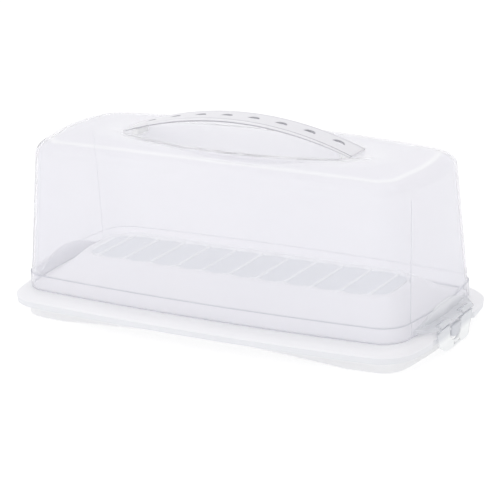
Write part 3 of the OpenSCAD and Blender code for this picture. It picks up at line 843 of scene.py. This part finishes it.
def clip_flap():
    """Sections from the window's edge to the outline. Below z = 8.3 the foot kicks out as 1.6 u^1.4."""
    top = HINGE_Z - KNUCKLE_R - 0.4
    half = [(30, top), (29.6, top - 4), (26.2, 9.9), (24.2, 6.3), (20.8, 3.7), (17, FLAP_LOW), (0, FLAP_LOW)]
    outer = resampled([(-y, z) for y, z in half] + half[-2::-1], 97, 4)
    roundness = 1.3
    r = roundness * WINDOW_HW
    a = np.linspace(-math.asin(1 / roundness), math.asin(1 / roundness), 31)
    arc = np.column_stack([r * np.sin(a), FLAP_LOW + 4 + r - r * np.cos(a)])
    inner = resampled(np.concatenate([[(-WINDOW_HW, top)], arc, [(WINDOW_HW, top)]]), 97, 1)
    span = outer - inner
    width = np.hypot(*span.T)[:, None]
    d = np.array([[0, 0, 0.2, 0.55, 3, -3, -0.55, -0.2, 0, 0, -0.2, -0.55, -3, 3, 0.55, 0.2]])
    from_outer = np.array([[0, 0, 0, 0, 0, 1, 1, 1, 1, 1, 1, 1, 1, 0, 0, 0]])
    depth = np.array([[0.7, 0.3, 0.1, 0, 0, 0, 0, 0.1, 0.3, 0.7, 0.9, 1, 1, 1, 1, 0.9]])
    share = np.where(from_outer > 0, 1 + d / width, d / width)[..., None]
    yz = inner[:, None] + span[:, None] * share
    kick = 1.6 * np.clip((8.3 - yz[..., 1]) / 5.4, 0, 1) ** 1.4
    x = FLAP_X + kick + FLAP_T * (1 - depth)
    return lofted(np.stack([x, yz[..., 0], yz[..., 1]], -1))


def clip_knuckle(side):
    """A slotted ring round the bar with a short neck down to the flap, carried along y."""
    a = np.radians(np.linspace(39.9, 320.1, 30))
    bore = (BAR_R + 0.06) * np.stack([np.cos(a), np.sin(a)], -1)
    b = np.radians(np.linspace(339.8, 290.2, 8))
    c = np.radians(np.linspace(249.8, 20.2, 28))
    ring = [KNUCKLE_R * np.stack([np.cos(v), np.sin(v)], -1) for v in (b, c)]
    side_view = np.concatenate([bore, ring[0], [(1, -3.8), (-1, -3.8)], ring[1]])
    ends = []
    x, z = HINGE_X + side_view[:, 0], HINGE_Z + side_view[:, 1]
    for y in (KNUCKLE_IN, KNUCKLE_OUT):
        ends.append(np.column_stack([x, np.full(len(x), side * y), z]))
    return prism(side_view, *ends)


clips = []
for end, sign in ENDS:
    body = f"clip_{end}_body"
    flap, knuckles = [clip_flap()], [clip_knuckle(1), clip_knuckle(-1)]
    clips.append(
        end_piece(f"clip_flap_{end}", flap, sign, body, "clip_plastic", [f"clip_{end}"])
    )
    clips.append(
        end_piece(f"clip_knuckles_{end}", knuckles, sign, body, "clip_plastic", [], 0.2)
    )


# %% Build the catches
def catch_tongue():
    """Rings of the tongue's outline, each further out along x; the last draw in to round its face."""
    hw, bottom, top, roundness = 7.5, 9.1, 18.8, 1.47
    r = roundness * hw
    a = np.linspace(-math.asin(1 / roundness), math.asin(1 / roundness), 21)
    foot = np.column_stack([r * np.sin(a), bottom + r - r * np.cos(a)])
    line = resampled(np.concatenate([foot, [(hw, top), (-hw, top), foot[0]]]), 65, 1)[:-1]
    middle = line.mean(0)
    arm = line - middle
    reach = np.hypot(*arm.T)[:, None]
    rings = []
    for x, inset in ((NOTCH_X, 0), (176, 0), (176.4, 0.1), (176.7, 0.35), (176.85, 0.8), (176.9, 1.6)):
        yz = middle + arm * (1 - inset / reach)
        rings.append(np.column_stack([np.full(len(yz), x), yz]))
    return lofted(np.stack(rings))


catches = [
    end_piece(f"catch_tongue_{end}", [catch_tongue()], sign, "tray", "catch_plastic", [f"catch_{end}"])
    for end, sign in ENDS
]

# %% [markdown]
# ## Finishes
#
# Everything here is polypropylene, moulded against polished or lightly
# blasted steel. What differs is how much light each piece lets through. One
# small function adds a shader node with its settings and its links, and one
# turns a colour as a painter writes it into the linear light that Blender
# works in.


# %% Colours and nodes
def colour(code):
    """An sRGB hex colour as linear light: c / 12.92 when dark, else ((c + 0.055) / 1.055) ^ 2.4."""
    parts = [int(code[i : i + 2], 16) / 255 for i in (0, 2, 4)]
    return [c / 12.92 if c <= 0.04045 else ((c + 0.055) / 1.055) ** 2.4 for c in parts] + [1.0]


def add_node(tree, kind, sockets=None, **settings):
    """Adds a node: settings are its own properties, sockets are values or the outputs that feed it."""
    node = tree.nodes.new(kind)
    for key, value in settings.items():
        setattr(node, key, value)
    for key, value in (sockets or {}).items():
        if isinstance(value, bpy.types.NodeSocket):
            tree.links.new(value, node.inputs[key])
        else:
            node.inputs[key].default_value = value
    return node


def new_material(name):
    """An empty material and its node tree with an output."""
    material = bpy.data.materials.new(name)
    material.use_nodes = True
    material.node_tree.nodes.clear()
    return material, material.node_tree


def mixed(tree, factor, start, code):
    """A colour that goes from `start` to the hex colour `code` as the factor goes from 0 to 1."""
    sockets = {"Factor": factor, "A": start, "B": colour(code)}
    return add_node(tree, "ShaderNodeMix", sockets, data_type="RGBA").outputs["Result"]


def ray_is(tree, *kinds):
    """One for rays of any of the named kinds, and zero for all others."""
    path = add_node(tree, "ShaderNodeLightPath")
    found = path.outputs[kinds[0]]
    for kind in kinds[1:]:
        either = {0: found, 1: path.outputs[kind]}
        found = add_node(tree, "ShaderNodeMath", either, operation="MAXIMUM").outputs[0]
    return found


# %% What all the plastics share
def moulded(name, light, dark, rough, mottle_mm, grain_mm, bump):
    """Moulded polypropylene: a faint cloud of two tones, a fine grain in the gloss, a shallow skin."""
    material, tree = new_material(name)
    place = add_node(tree, "ShaderNodeTexCoord").outputs["Object"]

    def noise(size_mm, detail, roughness):
        sockets = {"Vector": place, "Scale": 1000 / size_mm, "Detail": detail, "Roughness": roughness}
        return add_node(tree, "ShaderNodeTexNoise", sockets).outputs["Fac"]

    cloud, grain = noise(mottle_mm, 2.0, 0.5), noise(grain_mm, 3.0, 0.6)
    gloss = {"Value": grain, "To Min": rough - 0.05, "To Max": rough + 0.05}
    relief = {"Height": grain, "Strength": bump, "Distance": 0.0002}
    sockets = {
        "Base Color": mixed(tree, cloud, colour(light), dark),
        "Roughness": add_node(tree, "ShaderNodeMapRange", gloss).outputs["Result"],
        "Normal": add_node(tree, "ShaderNodeBump", relief).outputs["Normal"],
        "IOR": 1.49,
    }
    return material, tree, sockets, place


def by_height(tree, sockets, place, from_z, to_z, code):
    """Turns the base colour to another one between two heights, given in mm."""
    height = add_node(tree, "ShaderNodeSeparateXYZ", {"Vector": place}).outputs["Z"]
    span = {"Value": height, "From Min": from_z * MM, "From Max": to_z * MM}
    share = add_node(tree, "ShaderNodeMapRange", span).outputs["Result"]
    sockets["Base Color"] = mixed(tree, share, sockets["Base Color"], code)


def by_mark(tree, sockets, bright, shaded):
    """Paints light into the base colour, towards `bright`, where the mark is below zero, and paints shade,
    towards `shaded`, where it is above.
    """
    mark = add_node(tree, "ShaderNodeAttribute", attribute_name="painted_light_and_shade").outputs["Fac"]
    below = {0: 0.0, 1: mark}
    below = add_node(tree, "ShaderNodeMath", below, operation="SUBTRACT", use_clamp=True).outputs[0]
    lit = mixed(tree, below, sockets["Base Color"], bright)
    sockets["Base Color"] = mixed(tree, mark, lit, shaded)
    return mark


def let_light_in(tree, share):
    """Alpha of 1 for the eye, but lower for shadow and diffuse rays, so soft light comes through."""
    soft = ray_is(tree, "Is Shadow Ray", "Is Diffuse Ray")
    fall = {"Value": soft, "To Min": 1.0, "To Max": 1.0 - share}
    return add_node(tree, "ShaderNodeMapRange", fall).outputs["Result"]


def finish(material, tree, sockets, pieces):
    """Puts the plastic's values into the shader and gives the material to the pieces."""
    shader = add_node(tree, "ShaderNodeBsdfPrincipled", sockets)
    add_node(tree, "ShaderNodeOutputMaterial", {"Surface": shader.outputs["BSDF"]})
    for piece in pieces:
        piece.data.materials.append(material)
    print(f"{material.name}: {len(pieces)} piece(s), {len(tree.nodes)} nodes")


# %% [markdown]
# ## White plastic for tray, foot and deck
#
# White pigment makes polypropylene opaque, and the mould's surface sets its
# gloss. Tray and foot came from a satin mould. The rim's upright face is
# painted a little darker than its top, as painted shade, since it looks away
# from the sky. The foot is painted brighter, as painted light from the floor
# under the rim. The deck is a little matter: its cells are painted darker as
# painted shade, and the ribs between them painted bright as a painted
# highlight: a change of tone with height tells the two apart without a second
# piece.

# %% White moulded polypropylene for tray and foot
# Satin and opaque: the eye sees form from soft shading, with hardly any highlight.
SATIN, CLOUD_MM, SKIN_MM, SKIN = 0.36, 70, 1.6, 0.10
white = moulded("white_moulded_polypropylene", "F5F4F8", "F2F2F6", SATIN, CLOUD_MM, SKIN_MM, SKIN)
white_pp, tree, sockets, place = white
# Painted shade: the rim's upright face darker than its top.
by_height(tree, sockets, place, RIM_TOP + 0.1, RIM_TOP - 0.5, "E8E9ED")
finish(white_pp, tree, sockets, [tray])
# Painted light: the foot is a brighter copy of the tray's white, for the light that the floor throws up
# under the rim.
lit_foot_name = "white_moulded_polypropylene_painted_lit_foot"
lit_foot_pp, tree, sockets, _ = moulded(lit_foot_name, "FEFEFF", "FBFBFD", SATIN, CLOUD_MM, SKIN_MM, SKIN)
finish(lit_foot_pp, tree, sockets, [foot])

# %% Deck finish: painted bright ribs over cells in painted shade
# Matt, and darker in the cells as painted shade, with painted light on the ribs, so the ribs stand out as
# light bars.
shaded_deck = moulded("deck_polypropylene_painted_shade_and_light", "E2E5EA", "DFE2E8", 0.5, 40, 1.2, 0.15)
deck_pp, tree, sockets, place = shaded_deck
by_height(tree, sockets, place, floor_z + 0.15, floor_z + 0.5, "FCFDFF")
finish(deck_pp, tree, sockets, [panel])

# %% [markdown]
# ## The milky hood
#
# Polypropylene without pigment is milky: light comes through, but the plastic
# keeps a tone of its own. Glass with a tint would look wrong, so the shader
# mixes a white body with transmission. The sheet is thin, and light isn't bent
# by it as by a block, so the index of refraction is low, and a light coat
# brings back the gloss. Only the marks make it greyer or brighter: they paint
# shade and light into its colour.

# %% Natural milky polypropylene for the hood
# How clear the sheet is stays the same up to a mark of 0.4, and above that it
# falls along the painted shade lines. A change below that would draw an
# outline round the marked parts.
CLEAR, CLEAR_IN_PAINTED_SHADE, PAINTED_SHADE_FROM, SHEET_IOR = 0.76, 0.30, 0.4, 1.06
milky = moulded("natural_milky_polypropylene", "F8F7FA", "F6F6FA", 0.10, 90, 2.5, 0.02)
milky_pp, tree, sockets, _ = milky
# Painted light towards near white and painted shade towards grey, by the marks.
hood_mark = by_mark(tree, sockets, "FEFEFF", "C9CAD3")
clear = {"Value": hood_mark, "From Min": PAINTED_SHADE_FROM, "To Min": CLEAR, "To Max": CLEAR_IN_PAINTED_SHADE}
sockets["Transmission Weight"] = add_node(tree, "ShaderNodeMapRange", clear).outputs["Result"]
sockets["IOR"] = SHEET_IOR
sockets["Coat Weight"] = 0.2
sockets["Coat Roughness"] = 0.12
sockets["Alpha"] = let_light_in(tree, 0.85)
finish(milky_pp, tree, sockets, [hood])

# %% [markdown]
# ## Strap, brackets, catches and clips
#
# The strap and the small parts are thicker than the hood, so less light comes
# through. The strap is opaque and satin, with shade painted into its grooves by
# the marks. The brackets are half clear, and painted shade turns them grey
# towards the rim. The clips are bright, with painted shade that greys them at
# the window, where the catch shades them. The catch itself is the tray's
# plastic with that shade painted in.

# %% Strap, brackets, catches and clips
# Satin, opaque: the arch reads by its grooves and its bright beads, both painted by the marks as shade and
# highlight.
satin = moulded("satin_moulded_polypropylene", "EDECF1", "EAE9EE", 0.33, 50, 1.5, 0.08)
strap_pp, tree, sockets, _ = satin
by_mark(tree, sockets, "FFFFFF", "6E6F78")
finish(strap_pp, tree, sockets, [strap])

# Glossy and half clear: a grey wedge against the hood's wall, greyed towards the rim by painted shade.
thick = moulded("thick_milky_polypropylene", "FAFAFC", "F8F9FB", 0.18, 40, 1.5, 0.05)
bracket_pp, tree, sockets, place = thick
# Painted shade: greyer below 34 mm, towards the rim.
by_height(tree, sockets, place, 34.0, 27.0, "EBECF0")
sockets["Transmission Weight"] = 0.5
sockets["IOR"] = SHEET_IOR
sockets["Coat Weight"] = 0.3
sockets["Coat Roughness"] = 0.15
sockets["Alpha"] = let_light_in(tree, 0.85)
finish(bracket_pp, tree, sockets, brackets)

# Bright and glossy, with painted shade: a soft change to grey above the foot.
glossy = moulded("clear_white_moulded_polypropylene", "FBFCFD", "F8FAFB", 0.22, 30, 1.5, 0.05)
clip_pp, tree, sockets, place = glossy
by_height(tree, sockets, place, 10.5, 15.5, "DCDEE3")
sockets["Alpha"] = let_light_in(tree, 0.8)
finish(clip_pp, tree, sockets, clips)

# The tray's satin white with painted shade: greyer, as the clip's window frames it in shade.
shaded_catch = moulded("white_moulded_polypropylene_painted_shade_catch", "D3D5DB", "CFD1D8", 0.34, 30, 1.5, 0.08)
catch_pp, tree, sockets, _ = shaded_catch
finish(catch_pp, tree, sockets, catches)

# %% [markdown]
# ## A plain white studio
#
# The carrier stands in a white tent: soft light from all round, and a little
# more from the upper left. The camera sees the tent as pure white, and so do
# gloss and clear plastic. The floor is white too and keeps a faint shadow.
# The lamps stay unseen by the camera and through the hood, since a bright
# square there would look like a window in the plastic.

# %% Backdrop
EYE_RAYS = ("Is Camera Ray", "Is Glossy Ray", "Is Transmission Ray")
WHITE = (1, 1, 1, 1)
ROOM_LIGHT, PAPER_WHITE = 0.76, 1.0
scene = bpy.context.scene
scene.view_settings.view_transform = "Standard"
world = bpy.data.worlds.new("white_tent")
scene.world = world
world.use_nodes = True
tree = world.node_tree
tree.nodes.clear()
air = add_node(tree, "ShaderNodeBackground", {"Color": WHITE, "Strength": ROOM_LIGHT})
paper = add_node(tree, "ShaderNodeBackground", {"Color": WHITE, "Strength": PAPER_WHITE})
tent = {0: ray_is(tree, *EYE_RAYS), 1: air.outputs[0], 2: paper.outputs[0]}
mix = add_node(tree, "ShaderNodeMixShader", tent)
add_node(tree, "ShaderNodeOutputWorld", {"Surface": mix.outputs[0]})
print("room light:", ROOM_LIGHT)


# %% Lamps
def lamp(name, place, size, watts):
    """A soft box of size (width, depth) that looks at the carrier's middle, unseen by the camera."""
    light = bpy.data.lights.new(name, "AREA")
    light.shape = "RECTANGLE"
    light.energy, light.size, light.size_y = watts, *size
    thing = bpy.data.objects.new(name, light)
    place = Vector(place)
    aim = (Vector((0, 0, 0.07)) - place).to_track_quat("-Z", "Y").to_matrix().to_4x4()
    thing.matrix_world = Matrix.Translation(place) @ aim
    thing.visible_camera = thing.visible_transmission = False
    scene.collection.objects.link(thing)


lamp("key_box", (-0.9, -1.3, 1.5), (1.2, 1.2), 5.0)
lamp("top_box", (0.1, 0.2, 2.0), (1.5, 1.5), 5.6)


# %% Floor
def glowing_paper(tree, code, glow):
    """Matt paper of a colour, with some light of its own."""
    matt = add_node(tree, "ShaderNodeBsdfDiffuse", {"Color": colour(code)})
    own = add_node(tree, "ShaderNodeEmission", {"Color": WHITE, "Strength": glow})
    return add_node(tree, "ShaderNodeAddShader", {0: matt.outputs[0], 1: own.outputs[0]}).outputs[0]


# The eye's version is mostly its own light, so the shadow on it stays faint.
FLOOR_HALF = 3
paper_floor, tree = new_material("matt_white_paper")
lit, shown = glowing_paper(tree, "F0F0F0", 0.35), glowing_paper(tree, "989898", 0.79)
mix = add_node(tree, "ShaderNodeMixShader", {0: ray_is(tree, *EYE_RAYS), 1: lit, 2: shown})
add_node(tree, "ShaderNodeOutputMaterial", {"Surface": mix.outputs[0]})
corners = [(-FLOOR_HALF, -FLOOR_HALF, 0), (FLOOR_HALF, -FLOOR_HALF, 0)]
corners += [(-x, -y, 0) for x, y, _ in corners]
floor_mesh = bpy.data.meshes.new("paper")
floor_mesh.from_pydata(corners, [], [(0, 1, 2, 3)])
floor_mesh.materials.append(paper_floor)
paper_sheet = bpy.data.objects.new("paper", floor_mesh)
scene.collection.objects.link(paper_sheet)
print("floor is", 2 * FLOOR_HALF, "m wide")
